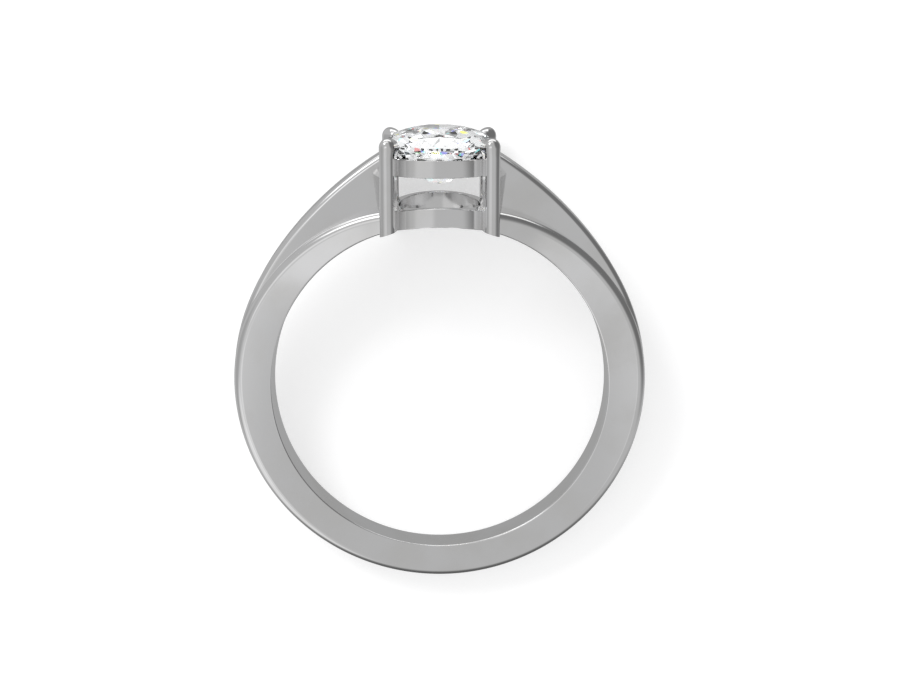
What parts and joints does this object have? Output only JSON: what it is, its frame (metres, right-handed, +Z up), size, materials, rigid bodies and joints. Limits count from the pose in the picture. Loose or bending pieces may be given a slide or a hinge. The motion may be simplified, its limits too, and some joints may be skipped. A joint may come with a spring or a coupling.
{
  "type": "solitaire ring",
  "caption": "Finger ring whose band flares into upright shoulders and a claw head, which holds an oval brilliant-cut stone above oval rails.",
  "frame": {"origin": "centre of the bounding box, on the surface that the ring lies on", "axes": "+Z up from that surface, +Y from the finger hole towards the head and stone, +X across the ring"},
  "size_m": [0.0208, 0.0232, 0.0069],
  "materials": {
    "metal": "polished",
    "gem": "gloss"
  },
  "bodies": {
    "root": {"mount": "metal", "stone": "gem"}
  },
  "joints": []
}
